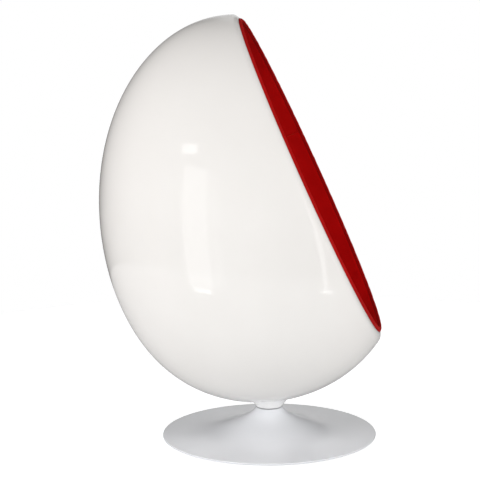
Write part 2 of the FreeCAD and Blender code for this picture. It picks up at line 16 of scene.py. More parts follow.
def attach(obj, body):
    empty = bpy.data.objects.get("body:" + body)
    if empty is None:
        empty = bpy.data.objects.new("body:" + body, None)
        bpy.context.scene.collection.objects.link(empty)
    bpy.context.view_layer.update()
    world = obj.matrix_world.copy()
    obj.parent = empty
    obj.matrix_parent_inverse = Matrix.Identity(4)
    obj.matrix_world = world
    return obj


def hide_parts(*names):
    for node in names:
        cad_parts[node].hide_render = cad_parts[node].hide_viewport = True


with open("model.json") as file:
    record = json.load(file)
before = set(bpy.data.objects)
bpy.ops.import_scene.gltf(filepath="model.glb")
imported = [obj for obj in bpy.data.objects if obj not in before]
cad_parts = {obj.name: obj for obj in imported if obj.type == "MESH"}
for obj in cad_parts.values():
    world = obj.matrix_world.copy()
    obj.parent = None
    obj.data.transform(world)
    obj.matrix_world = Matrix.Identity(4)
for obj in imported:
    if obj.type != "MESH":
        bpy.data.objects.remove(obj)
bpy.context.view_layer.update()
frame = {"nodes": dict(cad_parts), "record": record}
nodes = frame["nodes"]

# The egg, as the model has it
EGG_HALF_LENGTH = 0.5731
EGG_RADIUS = 0.4454
EGG_TAPER = (-0.0696, 0.0515, -0.0416)
EGG_LEAN = math.radians(9.33)
EGG_MIDDLE = Vector((0, 0.0510, 0.687973))
OPENING_LEAN = math.radians(24.14)
OPENING_OFFSET = 0.2007
SHELL_WALL = 0.005
FABRIC_THICKNESS = 0.0016
LINING_FACE = 0.0200
HOOD_SEAM_RISE = 0.102

# Egg profile points, and the search for where a ray meets the egg
PROFILE_STEPS = 4001
SEARCH_REACH = 2.0
SEARCH_HALVINGS = 44
TANGENT_SPREAD = 0.5
TANGENT_STEPS = 2001

EGG_POLE = Vector((0, math.sin(EGG_LEAN), math.cos(EGG_LEAN)))
OPENING_NORMAL = Vector((0, -math.cos(OPENING_LEAN), math.sin(OPENING_LEAN)))
OPENING_RISE = Vector((0, math.sin(OPENING_LEAN), math.cos(OPENING_LEAN)))
ACROSS = Vector((1, 0, 0))
# The same as arrays
middle_at, pole_way, normal_way, rise_way, across_way = (
    np.array(v) for v in (EGG_MIDDLE, EGG_POLE, OPENING_NORMAL, OPENING_RISE, ACROSS)
)


# Egg surfaces


def polar_profile(inset):
    """The egg's outline as distance from its middle against the angle from its upper pole."""
    turn = np.linspace(0, math.pi, PROFILE_STEPS)
    along = -np.cos(turn)
    first, second, third = EGG_TAPER
    swell = 1 + first * along + second * along**2 + third * along**3
    swell_rate = first + 2 * second * along + 3 * third * along**2
    radius_rate = EGG_RADIUS * (np.cos(turn) * swell + np.sin(turn) ** 2 * swell_rate)
    height_rate = EGG_HALF_LENGTH * np.sin(turn)
    slope = np.hypot(radius_rate, height_rate)
    radius = EGG_RADIUS * np.sin(turn) * swell - inset * height_rate / slope
    height = EGG_HALF_LENGTH * along + inset * radius_rate / slope
    angle = np.arctan2(radius, height)[::-1]
    return angle, np.hypot(radius, height)[::-1]


def outside_by(points, profile):
    """How far points lie outside an egg, along the line to its middle."""
    from_middle = points - middle_at
    height = from_middle @ pole_way
    off_axis = np.linalg.norm(from_middle - height[..., None] * pole_way, axis=-1)
    return np.hypot(off_axis, height) - np.interp(np.arctan2(off_axis, height), *profile)


def hit_egg(start, direction, inset):
    """Where rays from inside points meet an inset egg."""
    profile = polar_profile(inset)
    low = np.zeros(start.shape[:-1])
    high = np.full(start.shape[:-1], SEARCH_REACH)
    for _ in range(SEARCH_HALVINGS):
        middle = (low + high) / 2
        outside = outside_by(start + middle[..., None] * direction, profile) > 0
        high = np.where(outside, middle, high)
        low = np.where(outside, low, middle)
    return start + low[..., None] * direction


def back_tangent(inset):
    """The point of an inset egg that lies furthest behind the opening."""
    spread = np.linspace(-TANGENT_SPREAD, TANGENT_SPREAD, TANGENT_STEPS)
    rays = -normal_way + spread[:, None] * rise_way
    rays /= np.linalg.norm(rays, axis=1)[:, None]
    points = hit_egg(np.tile(middle_at, (len(rays), 1)), rays, inset)
    return points[np.argmin((points - middle_at) @ normal_way)]


def egg_rings(inset, offset, rings, around):
    """The hindmost point of an inset egg, and rings from there to a plane so far in front of its middle."""
    back = back_tangent(inset)
    depth = -(back - middle_at) @ normal_way
    spread = np.linspace(0, math.acos(-offset / depth), rings + 1)[1:]
    level = -depth * np.cos(spread)
    start = middle_at + (back - middle_at) * (-level / depth)[:, None]
    turn = np.linspace(0, 2 * math.pi, around, endpoint=False)
    direction = np.cos(turn)[:, None] * across_way + np.sin(turn)[:, None] * rise_way
    start = np.repeat(start[:, None, :], around, axis=1)
    direction = np.repeat(direction[None, :, :], len(level), axis=0)
    return back, hit_egg(start, direction, inset)


def opening_loop(inset, lift, around):
    """The closed line in which an inset egg meets the opening plane, moved out by a lift."""
    return egg_rings(inset, OPENING_OFFSET + lift, 2, around)[1][-1]


# Mesh helpers


def piece(name, verts, faces, smooth=True):
    """A new object in the scene from points and faces."""
    mesh = bpy.data.meshes.new(name)
    mesh.from_pydata([tuple(v) for v in verts], [], [tuple(f) for f in faces])
    mesh.validate()
    obj = bpy.data.objects.new(name, mesh)
    bpy.context.scene.collection.objects.link(obj)
    if smooth:
        mesh.shade_smooth()
    return obj


def grid_faces(rows, columns, closed_rows=False, closed_columns=True):
    """Quads over a grid of points held row by row."""
    faces = []
    for i in range(rows if closed_rows else rows - 1):
        for j in range(columns if closed_columns else columns - 1):
            below = ((i + 1) % rows) * columns
            right = (j + 1) % columns
            faces.append((i * columns + j, i * columns + right, below + right, below + j))
    return faces


def outward(obj):
    """Turns a closed mesh's faces outwards."""
    mesh = bmesh.new()
    mesh.from_mesh(obj.data)
    bmesh.ops.recalc_face_normals(mesh, faces=mesh.faces)
    mesh.to_mesh(obj.data)
    mesh.free()
    return obj


def applied(obj):
    """Turns a piece's modifiers into its own mesh."""
    evaluated = obj.evaluated_get(bpy.context.evaluated_depsgraph_get())
    mesh = bpy.data.meshes.new_from_object(evaluated)
    obj.modifiers.clear()
    obj.data = mesh
    return obj


# Materials

NOISE_LOW = 0.3
NOISE_HIGH = 0.7
WEAVE_RELIEF = 0.45
WEAVE_TONE = 0.05
NAP_TONE = 0.35
TONE_SHIFT = 0.17
PLY_THICKNESS = 0.003


def node(tree, kind, inputs=None, **settings):
    """A shader node with its settings; an input is a value or another node's socket."""
    made = tree.nodes.new(kind)
    for key, value in settings.items():
        setattr(made, key, value)
    for key, value in (inputs or {}).items():
        if isinstance(value, bpy.types.NodeSocket):
            tree.links.new(value, made.inputs[key])
        else:
            made.inputs[key].default_value = value
    return made


def math_node(tree, operation, *values):
    """The result of a sum on values or other nodes' sockets."""
    return node(tree, "ShaderNodeMath", dict(enumerate(values)), operation=operation).outputs[0]


def material(name, **constants):
    """A new material, its node tree and its shader, with constants on the shader's own sockets."""
    made = bpy.data.materials.new(name)
    made.use_nodes = True
    shader = made.node_tree.nodes["Principled BSDF"]
    for key, value in constants.items():
        shader.inputs[key.replace("_", " ")].default_value = value
    return made, made.node_tree, shader


def grain(tree, scale, detail=4.0, rough=0.55, stretch=(1, 1, 1)):
    """Noise in the part's own metres; scale is in cells per metre."""
    place = node(tree, "ShaderNodeTexCoord").outputs["Object"]
    if stretch != (1, 1, 1):
        place = node(tree, "ShaderNodeMapping", {"Vector": place, "Scale": stretch}).outputs[0]
    inputs = {"Vector": place, "Scale": scale, "Detail": detail, "Roughness": rough}
    return node(tree, "ShaderNodeTexNoise", inputs).outputs["Fac"]


def between(tree, share, low, high):
    """A colour or number that runs from low to high as a share runs over its middle range."""
    ramp = {0: share, 1: NOISE_LOW, 2: NOISE_HIGH}
    if isinstance(low, (int, float)):
        ramp |= {3: low, 4: high}
        return node(tree, "ShaderNodeMapRange", ramp).outputs[0]
    factor = node(tree, "ShaderNodeMapRange", ramp).outputs[0]
    colours = {0: factor, 6: (*low, 1), 7: (*high, 1)}
    return node(tree, "ShaderNodeMix", colours, data_type="RGBA").outputs[2]


def bump(tree, shader, height, depth):
    """Relief so many metres deep on a shader."""
    made = node(tree, "ShaderNodeBump", {"Height": height, "Distance": depth, "Strength": 1.0})
    tree.links.new(made.outputs[0], shader.inputs["Normal"])


def lacquer(name, low, high, roughness):
    """Sprayed or moulded gloss with a faint orange peel and a little uneven polish."""
    made, tree, shader = material(name, IOR=1.5)
    tree.links.new(between(tree, grain(tree, 3.0), low, high), shader.inputs["Base Color"])
    tree.links.new(between(tree, grain(tree, 14.0), *roughness), shader.inputs["Roughness"])
    bump(tree, shader, grain(tree, 130.0, 2.0), 0.00002)
    return made


def steel(name, colour, roughness):
    """Bare metal with turning lines round the upright axis."""
    made, tree, shader = material(name, Metallic=1.0)
    dark = tuple(0.82 * c for c in colour)
    tree.links.new(between(tree, grain(tree, 60.0), dark, colour), shader.inputs["Base Color"])
    lines = grain(tree, 240.0, 3.0, stretch=(1, 1, 12))
    tree.links.new(between(tree, lines, roughness * 0.8, roughness * 1.25), shader.inputs["Roughness"])
    bump(tree, shader, lines, 0.00002)
    return made


def moulded(name, colour, roughness, scale=900.0, depth=0.00004):
    """Dull plastic, rubber or powder paint with a fine grain."""
    made, tree, shader = material(name)
    dark = tuple(0.8 * c for c in colour)
    tree.links.new(between(tree, grain(tree, 25.0), dark, colour), shader.inputs["Base Color"])
    fine = grain(tree, scale, 3.0)
    tree.links.new(between(tree, fine, roughness * 0.9, roughness * 1.1), shader.inputs["Roughness"])
    bump(tree, shader, fine, depth)
    return made


def foam(name, colour):
    """Open-celled foam."""
    made, tree, shader = material(name, Roughness=0.95)
    place = node(tree, "ShaderNodeTexCoord").outputs["Object"]
    cells = node(tree, "ShaderNodeTexVoronoi", {"Vector": place, "Scale": 900.0}).outputs["Distance"]
    shaded = tuple(0.6 * c for c in colour)
    tree.links.new(between(tree, cells, shaded, colour), shader.inputs["Base Color"])
    bump(tree, shader, cells, 0.0004)
    return made


def plywood(name):
    """Level plies with fibre along the board."""
    made, tree, shader = material(name, Roughness=0.6)
    place = node(tree, "ShaderNodeTexCoord").outputs["Object"]
    height = node(tree, "ShaderNodeSeparateXYZ", {0: place}).outputs[2]
    plies = math_node(tree, "SINE", math_node(tree, "MULTIPLY", height, 2 * math.pi / PLY_THICKNESS))
    fibre = grain(tree, 60.0, 5.0, stretch=(1, 14, 1))
    share = math_node(tree, "ADD", math_node(tree, "MULTIPLY", plies, 0.15), fibre)
    colour = between(tree, share, (0.36, 0.22, 0.11), (0.66, 0.48, 0.29))
    tree.links.new(colour, shader.inputs["Base Color"])
    bump(tree, shader, share, 0.0001)
    return made


def wool(name, low, high, sheen, thread=0.0014):
    """Milled wool: a plain weave under a short nap, laid on each face from the side it looks to."""
    made, tree, shader = material(name, Roughness=0.92, Sheen_Weight=sheen, Sheen_Roughness=0.4)
    shader.inputs["Specular IOR Level"].default_value = 0.12
    shader.inputs["Sheen Tint"].default_value = (1.0, 0.45, 0.40, 1)
    coordinates = node(tree, "ShaderNodeTexCoord")
    place = node(tree, "ShaderNodeSeparateXYZ", {0: coordinates.outputs["Object"]}).outputs
    facing = node(tree, "ShaderNodeSeparateXYZ", {0: coordinates.outputs["Normal"]}).outputs

    def times(one, other):
        return math_node(tree, "MULTIPLY", one, other)

    def plus(one, *others):
        for other in others:
            one = math_node(tree, "ADD", one, other)
        return one

    waves = [math_node(tree, "SINE", times(place[i], math.pi / thread)) for i in range(3)]
    weights = [math_node(tree, "POWER", math_node(tree, "ABSOLUTE", facing[i]), 4.0) for i in range(3)]
    crossed = [times(times(waves[(i + 1) % 3], waves[(i + 2) % 3]), weights[i]) for i in range(3)]
    weave = math_node(tree, "DIVIDE", plus(*crossed), plus(*weights))
    nap = grain(tree, 1100.0, 4.0, 0.7)
    height = plus(times(weave, WEAVE_RELIEF), nap)
    tone = plus(grain(tree, 9.0, 3.0), times(nap, NAP_TONE))
    tone = plus(math_node(tree, "SUBTRACT", tone, TONE_SHIFT), times(weave, WEAVE_TONE))
    tree.links.new(between(tree, tone, low, high), shader.inputs["Base Color"])
    bump(tree, shader, height, 0.0006)
    return made


looks = {
    "shell_gelcoat": lacquer("shell_gelcoat", (0.835, 0.822, 0.795), (0.86, 0.848, 0.822), (0.05, 0.09)),
    "neck_gloss": lacquer("neck_gloss", (0.895, 0.895, 0.89), (0.915, 0.915, 0.91), (0.10, 0.16)),
    "trumpet_paint": lacquer("trumpet_paint", (0.765, 0.783, 0.812), (0.79, 0.808, 0.835), (0.16, 0.20)),
    "ballast_paint": moulded("ballast_paint", (0.035, 0.036, 0.038), 0.55, 500.0, 0.0001),
    "black_rubber": moulded("black_rubber", (0.022, 0.022, 0.023), 0.75, 1200.0, 0.00006),
    "zinc_steel": steel("zinc_steel", (0.66, 0.67, 0.68), 0.34),
    "spring_steel": steel("spring_steel", (0.30, 0.31, 0.33), 0.38),
    "machined_steel": steel("machined_steel", (0.58, 0.585, 0.59), 0.26),
    "bearing_steel": steel("bearing_steel", (0.74, 0.745, 0.75), 0.12),
    "cage_nylon": moulded("cage_nylon", (0.70, 0.67, 0.58), 0.45),
    "bronze": steel("bronze", (0.72, 0.46, 0.22), 0.30),
    "birch_plywood": plywood("birch_plywood"),
    "upholstery_foam": foam("upholstery_foam", (0.78, 0.70, 0.46)),
    "cushion_foam": foam("cushion_foam", (0.86, 0.83, 0.74)),
    "red_wool": wool("red_wool", (0.55, 0.0040, 0.0040), (0.68, 0.0062, 0.0062), 0.03),
    # The roll is the same wool as the lining, given a darker colour: painted shade along the lip.
    "red_wool_roll": wool("red_wool_roll", (0.37, 0.0048, 0.0048), (0.45, 0.007, 0.0065), 0.03),
    "red_wool_cushion": wool("red_wool_cushion", (0.58, 0.0042, 0.0042), (0.72, 0.0065, 0.0065), 0.05),
    "red_wool_piping": wool("red_wool_piping", (0.56, 0.0042, 0.0042), (0.70, 0.0065, 0.0065), 0.08, 0.0011),
}


def dress(obj, slot_name):
    obj.data.materials.clear()
    obj.data.materials.append(looks[slot_name])
    return obj


for subpart in frame["record"]["subparts"]:
    dress(nodes[subpart["node"]], subpart["material_slot"])


def own(obj, slot_name, *replaced, body="seat", fill=None):
    """Dresses a piece of the scene, sets it on its body, and hides what it stands for."""
    dress(obj, slot_name)
    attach(obj, body)
    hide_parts(*replaced)
    return obj


# Moulded shell: one open egg of even wall, turned in at a rounded lip and bored over the swivel

LIP_ROUND = 0.014
LIP_WIDTH = 0.0115
LIP_DEPTH = 0.010
LIP_STEPS = 14
HUB_HOLE_RADIUS = 0.050
SHELL_RINGS = 110
SHELL_SIDES = 360
HUB_HOLE_SIDES = 96
DRILL_LENGTH = 0.4
CREASE = math.radians(30)


def lip_section():
    """The lip as (inset, lift), from the shell's outer face round to its inner face."""
    last = math.acos(1 - LIP_WIDTH / LIP_ROUND)
    section = [
        (LIP_ROUND * (1 - math.cos(turn)), LIP_ROUND * (math.sin(turn) - 1))
        for turn in np.linspace(0, last, LIP_STEPS)[1:]
    ]
    return section + [(LIP_WIDTH, -LIP_DEPTH)]


def shell():
    """Outer face, lip and inner face in one skin, closed at both back points."""
    back, outer = egg_rings(0.0, OPENING_OFFSET - LIP_ROUND, SHELL_RINGS, SHELL_SIDES)
    inner_back, inner = egg_rings(SHELL_WALL, OPENING_OFFSET - LIP_DEPTH, SHELL_RINGS, SHELL_SIDES)
    lip = np.stack([opening_loop(inset, lift, SHELL_SIDES) for inset, lift in lip_section()])
    rows = np.concatenate([outer, lip, inner[::-1]])
    verts = [tuple(v) for v in rows.reshape(-1, 3)]
    faces = grid_faces(len(rows), SHELL_SIDES)
    for pole, start in ((back, 0), (inner_back, len(verts) - SHELL_SIDES)):
        verts.append(tuple(pole))
        hub = len(verts) - 1
        faces += [(hub, start + i, start + (i + 1) % SHELL_SIDES) for i in range(SHELL_SIDES)]
    obj = outward(piece("shell", verts, faces))
    bpy.ops.mesh.primitive_cylinder_add(
        vertices=HUB_HOLE_SIDES, radius=HUB_HOLE_RADIUS, depth=DRILL_LENGTH
    )
    drill = bpy.context.object
    bore = obj.modifiers.new("bore", "BOOLEAN")
    bore.operation = "DIFFERENCE"
    bore.solver = "EXACT"
    bore.object = drill
    applied(obj)
    bpy.data.objects.remove(drill)
    obj.data.shade_smooth()
    obj.data.set_sharp_from_angle(angle=CREASE)
    return obj


own(shell(), "shell_gelcoat", "egg_shell")


# Upholstered roll inside the lip

ROLL_HALF_WIDTH = 0.0048
ROLL_MIDDLE = 0.0156
ROLL_FOOT = 0.0002
ROLL_CROWN = 0.0074
ROLL_TUCK = 0.0030
ROLL_ROUND = 2.5
ROLL_STEPS = 25
ROLL_SIDES = 480
TUCK_THICKNESS = 0.0006
PUCKER_HEIGHT = 0.00012
PUCKERS = ((37, 0.4), (53, 2.1), (71, 4.0), (97, 1.2))


def roll_section():
    """The roll's section as (inset, lift): a soft crown, then a tuck inside the lining."""
    turn = np.linspace(0, math.pi, ROLL_STEPS)
    wide = np.sign(np.cos(turn)) * np.abs(np.cos(turn)) ** (2 / ROLL_ROUND)
    high = np.sin(turn) ** (2 / ROLL_ROUND)
    section = [
        (ROLL_MIDDLE - ROLL_HALF_WIDTH * w, ROLL_FOOT + ROLL_CROWN * h) for w, h in zip(wide, high)
    ]
    inner = ROLL_MIDDLE + ROLL_HALF_WIDTH
    section += [(inner, -ROLL_TUCK), (inner - TUCK_THICKNESS, -ROLL_TUCK)]
    section += [(inner - 2 * TUCK_THICKNESS, ROLL_FOOT)]
    section += [(ROLL_MIDDLE, ROLL_FOOT), (ROLL_MIDDLE - ROLL_HALF_WIDTH / 2, ROLL_FOOT)]
    return section


def roll():
    """The roll round the opening, with a faint pucker along its crown."""
    section = roll_section()
    grid = np.stack([opening_loop(inset, lift, ROLL_SIDES) for inset, lift in section])
    turn = np.linspace(0, 2 * math.pi, ROLL_SIDES, endpoint=False)
    pucker = sum(PUCKER_HEIGHT * np.sin(count * turn + phase) for count, phase in PUCKERS)
    crown = np.array([max(0.0, lift - ROLL_FOOT) / ROLL_CROWN for _, lift in section])
    grid = grid + crown[:, None, None] * pucker[None, :, None] * normal_way
    faces = grid_faces(len(section), ROLL_SIDES, closed_rows=True)
    return outward(piece("rim_roll", grid.reshape(-1, 3), faces))


own(roll(), "red_wool_roll", "rim_trim", fill=0.9)


# Lining of the bowl: fabric panels over foam, sunk where they are sewn together

SEAM_HALF_GAP = 0.00005
SEAM_DEPTH = 0.0016
SEAM_REACH = 0.0021
SEAM_CUTS = (SEAM_HALF_GAP, 0.0006, 0.0012, 0.0018, 0.0026, 0.0036, 0.0050, 0.0070)
PANEL_HALF_WIDTH = 0.190
PANEL_RINGS = 96
PANEL_SIDES = 280
PANEL_MARGIN = 0.0002
CUT_MERGE = 1e-7
POINT_DIGITS = 6
PLATFORM_RAKE = math.radians(5)
PLATFORM_HEIGHT = 0.269635
LEDGE_FACE = 0.2128
LEDGE_HEIGHT = 0.38774
DECK_FACE = 0.0018
DECK_EDGE = 0.0020
DECK_STEPS = 40
DECK_CROWDING = 1.5
DECK_RISER_STEPS = 9
DECK_COLUMNS = 81
DECK_CREASE = math.radians(60)
PLATFORM_UP = Vector((0, math.sin(PLATFORM_RAKE), math.cos(PLATFORM_RAKE)))


def platform_at(y, grow):
    """The height of the raked platform at a place, grown square to its face."""
    return PLATFORM_HEIGHT - math.tan(PLATFORM_RAKE) * y + grow / math.cos(PLATFORM_RAKE)


def thickened(obj):
    """Gives a sheet the fabric's thickness behind its visible face."""
    skin = obj.modifiers.new("skin", "SOLIDIFY")
    skin.thickness = FABRIC_THICKNESS
    skin.offset = -1.0
    return applied(obj)


def bowl_panels():
    """The faces of the bowl's lining, cut along its seams and along the seat, by the panel they belong to."""
    pole, rows = egg_rings(LINING_FACE, OPENING_OFFSET - PANEL_MARGIN, PANEL_RINGS, PANEL_SIDES)
    mesh = bmesh.new()
    verts = [mesh.verts.new(pole)] + [mesh.verts.new(v) for v in rows.reshape(-1, 3)]
    for j in range(PANEL_SIDES):
        mesh.faces.new((verts[0], verts[1 + j], verts[1 + (j + 1) % PANEL_SIDES]))
    for face in grid_faces(PANEL_RINGS, PANEL_SIDES):
        mesh.faces.new([verts[1 + i] for i in face])
    cuts = [
        (Vector((0, 0, platform_at(0, DECK_EDGE))), PLATFORM_UP),
        (Vector((0, LEDGE_FACE - DECK_EDGE, 0)), Vector((0, 1, 0))),
        (Vector((0, 0, LEDGE_HEIGHT + DECK_EDGE)), Vector((0, 0, 1))),
        (Vector((0, 0, 0)), Vector((0, 1, 0))),
    ]
    hood_seam = EGG_MIDDLE + OPENING_RISE * HOOD_SEAM_RISE
    for shift in SEAM_CUTS:
        for sign in (-1, 1):
            cuts.append((hood_seam + OPENING_RISE * shift * sign, OPENING_RISE))
            cuts.append((ACROSS * (PANEL_HALF_WIDTH + shift * sign), ACROSS))
            cuts.append((ACROSS * (-PANEL_HALF_WIDTH + shift * sign), ACROSS))
            cuts.append((ACROSS * shift * sign, ACROSS))
    for place, normal in cuts:
        everything = mesh.verts[:] + mesh.edges[:] + mesh.faces[:]
        bmesh.ops.bisect_plane(mesh, geom=everything, dist=CUT_MERGE, plane_co=place, plane_no=normal)
    panels = {}
    for face in mesh.faces:
        centre = face.calc_center_median()
        if centre.y < LEDGE_FACE - DECK_EDGE:
            seat_top = platform_at(centre.y, DECK_EDGE)
        else:
            seat_top = LEDGE_HEIGHT + DECK_EDGE
        rise = (centre - hood_seam).dot(OPENING_RISE)
        side_seam = PANEL_HALF_WIDTH if centre.y > 0 else 0
        if centre.z < seat_top or abs(rise) < SEAM_HALF_GAP:
            continue
        if rise < 0 and abs(abs(centre.x) - side_seam) < SEAM_HALF_GAP:
            continue
        if rise > 0:
            name = "hood_panel"
        elif abs(centre.x) < side_seam:
            name = "back_panel"
        else:
            name = "left_panel" if centre.x < 0 else "right_panel"
        panels.setdefault(name, []).append([v.co.copy() for v in face.verts])
    mesh.free()
    return panels


def seam_sink(point):
    """How far the sewing draws the fabric into the foam at a point."""
    rise = (point - EGG_MIDDLE).dot(OPENING_RISE) - HOOD_SEAM_RISE
    away = [abs(rise)]
    if rise < 0:
        away.append(abs(abs(point.x) - PANEL_HALF_WIDTH) if point.y > 0 else abs(point.x))
    return SEAM_DEPTH * math.exp(-(min(away) / SEAM_REACH) ** 2)


def bowl_panel(name, faces):
    """One panel as a sheet, sunk along its seams, with its visible face inwards."""
    index = {}
    points = []
    quads = []
    for face in faces:
        quad = []
        for point in face:
            key = tuple(round(c, POINT_DIGITS) for c in point)
            if key not in index:
                index[key] = len(points)
                outward_line = (point - EGG_MIDDLE).normalized()
                points.append(point + outward_line * seam_sink(point))
            quad.append(index[key])
        if len(set(quad)) == len(quad):
            quads.append(quad)
    obj = piece(name, points, quads)
    mesh = obj.data
    inward = sum(1 if f.normal.dot(EGG_MIDDLE - f.center) > 0 else -1 for f in mesh.polygons)
    if inward < 0:
        mesh.flip_normals()
    return thickened(obj)


panel_nodes = {
    "hood_panel": "hood_lining",
    "back_panel": "back_lining",
    "left_panel": "left_lining",
    "right_panel": "right_lining",
}
for panel_name, panel_faces in bowl_panels().items():
    own(bowl_panel(panel_name, panel_faces), "red_wool", panel_nodes[panel_name], fill=1.0)


def deck():
    """The fabric over the foam seat: one sheet over the platform, up its back and over the ledge."""
    inset = LINING_FACE - FABRIC_THICKNESS
    face = LEDGE_FACE - DECK_FACE
    ledge = LEDGE_HEIGHT + DECK_FACE
    slope = np.array((0, -math.cos(PLATFORM_RAKE), math.sin(PLATFORM_RAKE)))
    start = np.array((0, 0, platform_at(0, DECK_FACE)))
    front = hit_egg(start[None], slope[None], inset)[0]
    corner = np.array((0, face, platform_at(face, DECK_FACE)))
    step = np.array((0, face, ledge))
    back = hit_egg(step[None], np.array(((0.0, 1.0, 0.0),)), inset)[0]
    near_end = (1 - np.cos(np.linspace(0, math.pi / 2, DECK_STEPS))) ** DECK_CROWDING
    line = [front + (corner - front) * s for s in near_end]
    line += [corner + (step - corner) * s for s in np.linspace(0, 1, DECK_RISER_STEPS)[1:]]
    line += [back + (step - back) * s for s in near_end[::-1]][1:]
    line = np.array(line)
    half = hit_egg(line, np.tile(across_way, (len(line), 1)), inset)[:, 0]
    share = np.sin(np.linspace(-math.pi / 2, math.pi / 2, DECK_COLUMNS))
    grid = line[:, None, :] + across_way * (half[:, None] * share)[:, :, None]
    faces = grid_faces(len(line), DECK_COLUMNS, closed_columns=False)
    obj = piece("seat_deck", grid.reshape(-1, 3), faces)
    if sum(f.normal.z for f in obj.data.polygons) < 0:
        obj.data.flip_normals()
    thickened(obj)
    obj.data.set_sharp_from_angle(angle=DECK_CREASE)
    return obj


own(deck(), "red_wool", "seat_lining", fill=1.0)


# Cushions: cloth filled from inside, held along the piping, and flat only where it rests

REST_GAP = 0.0003
BACK_REST_GAP = 0.0008
LEDGE_CLEARANCE = 0.003
SKIN_MERGE = 1e-5
VOXEL = 0.006
PIPED_BAND = 0.006
SLACK = 0.10
SWELL_LIMIT = 0.016
CLOTH_STEPS = 20
SMALLEST_LENGTH = 1e-9
CLOTH = {
    "quality": 5,
    "mass": 0.25,
    "tension_stiffness": 12,
    "compression_stiffness": 12,
    "bending_stiffness": 0.6,
    "use_pressure": True,
    "uniform_pressure_force": 4.0,
    "vertex_group_mass": "piped",
}
PIPING_RADIUS = 0.0040
PIPING_GAP = 0.0002
PIPING_SIDES = 18
FLANGE_WIDTH = 0.35
FLANGE_SHARPNESS = 24
OUTLINE_STEPS = 28
# Half width, half depth, corner radius, and the turns at which the corner's arc starts and ends
SEAT_SIZE = (0.313094, 0.248444, 0.151480, math.radians(45), math.radians(64))
BACK_SIZE = (0.254502, 0.222191, 0.121193, math.radians(31), math.radians(67))
SEAT_LIFT = 0.0496
SEAT_MIDDLE = -0.052204
BACK_LEAN = math.radians(14)
BACK_MIDDLE = np.array((0, 0.3308, 0.617387))


def tipped(points, angle):
    """Points turned about the X axis."""
    x, y, z = points.T
    turned_y = y * math.cos(angle) - z * math.sin(angle)
    turned_z = y * math.sin(angle) + z * math.cos(angle)
    return np.stack((x, turned_y, turned_z), axis=1)


def seat_placed(points):
    """Points of the seat cushion, drawn lying flat about the origin, set on the platform."""
    lifted = tipped(points + np.array((0, SEAT_MIDDLE, SEAT_LIFT)), -PLATFORM_RAKE)
    return lifted + np.array((0, 0, PLATFORM_HEIGHT + (DECK_FACE + REST_GAP) / math.cos(PLATFORM_RAKE)))


def back_placed(points):
    """Points of the back cushion, drawn lying flat about the origin, leant on the back."""
    return tipped(points, math.pi / 2 - BACK_LEAN) + BACK_MIDDLE


def outline(half_x, half_y, corner, start, end):
    """A rounded outline with bowed sides about the middle: four round corners and four long side arcs."""
    along_x = half_x + corner * (math.cos(end) - math.cos(start))
    along_y = half_y + corner * (math.sin(start) - math.sin(end))
    start_rise = 1 - math.cos(start)
    end_rise = 1 - math.sin(end)
    spread = start_rise * end_rise - math.cos(end) * math.sin(start)
    side_x = (along_x * end_rise - along_y * math.cos(end)) / spread
    centre_x = half_x - side_x + (side_x - corner) * math.cos(start)
    centre_y = (side_x - corner) * math.sin(start)
    side_y = (half_y - centre_y - corner * math.sin(end)) / end_rise
    arcs = (
        (half_x - side_x, 0.0, side_x, 0.0, start),
        (centre_x, centre_y, corner, start, end),
        (0.0, half_y - side_y, side_y, end, math.pi / 2),
    )
    quarter = []
    for x, y, radius, low, high in arcs:
        for turn in np.linspace(low, high, OUTLINE_STEPS, endpoint=False):
            quarter.append((x + radius * math.cos(turn), y + radius * math.sin(turn)))
    quarter = np.array(quarter)
    top = np.array(((0.0, half_y),))
    upper = np.concatenate((quarter, top, quarter[1:][::-1] * (-1, 1)))
    lower = np.concatenate(
        (quarter[:1] * (-1, 1), quarter[1:] * (-1, -1), top * (1, -1), quarter[1:][::-1] * (1, -1))
    )
    loop = np.concatenate((upper, lower))
    return np.concatenate((loop, np.zeros((len(loop), 1))), axis=1)


def outer_skin(node_name, name):
    """A copy of the outside of a hollow node."""
    mesh = bmesh.new()
    mesh.from_mesh(nodes[node_name].data)
    bmesh.ops.remove_doubles(mesh, verts=mesh.verts, dist=SKIN_MERGE)
    left = set(mesh.verts)
    islands = []
    while left:
        queue = [left.pop()]
        island = set(queue)
        while queue:
            for edge in queue.pop().link_edges:
                for vert in edge.verts:
                    if vert in left:
                        left.remove(vert)
                        island.add(vert)
                        queue.append(vert)
        islands.append(island)
    islands.sort(key=lambda island: max(v.co.x for v in island))
    inner = [v for island in islands[:-1] for v in island]
    bmesh.ops.delete(mesh, geom=inner, context="VERTS")
    data = bpy.data.meshes.new(name)
    mesh.to_mesh(data)
    mesh.free()
    obj = bpy.data.objects.new(name, data)
    bpy.context.scene.collection.objects.link(obj)
    return obj


def read_vectors(vectors, name):
    """A mesh's points or normals as rows of an array."""
    flat = np.empty(len(vectors) * 3)
    vectors.foreach_get(name, flat)
    return flat.reshape(-1, 3)


def coordinates(obj):
    return read_vectors(obj.data.vertices, "co")


def set_coordinates(obj, points):
    obj.data.vertices.foreach_set("co", points.ravel())
    obj.data.update()


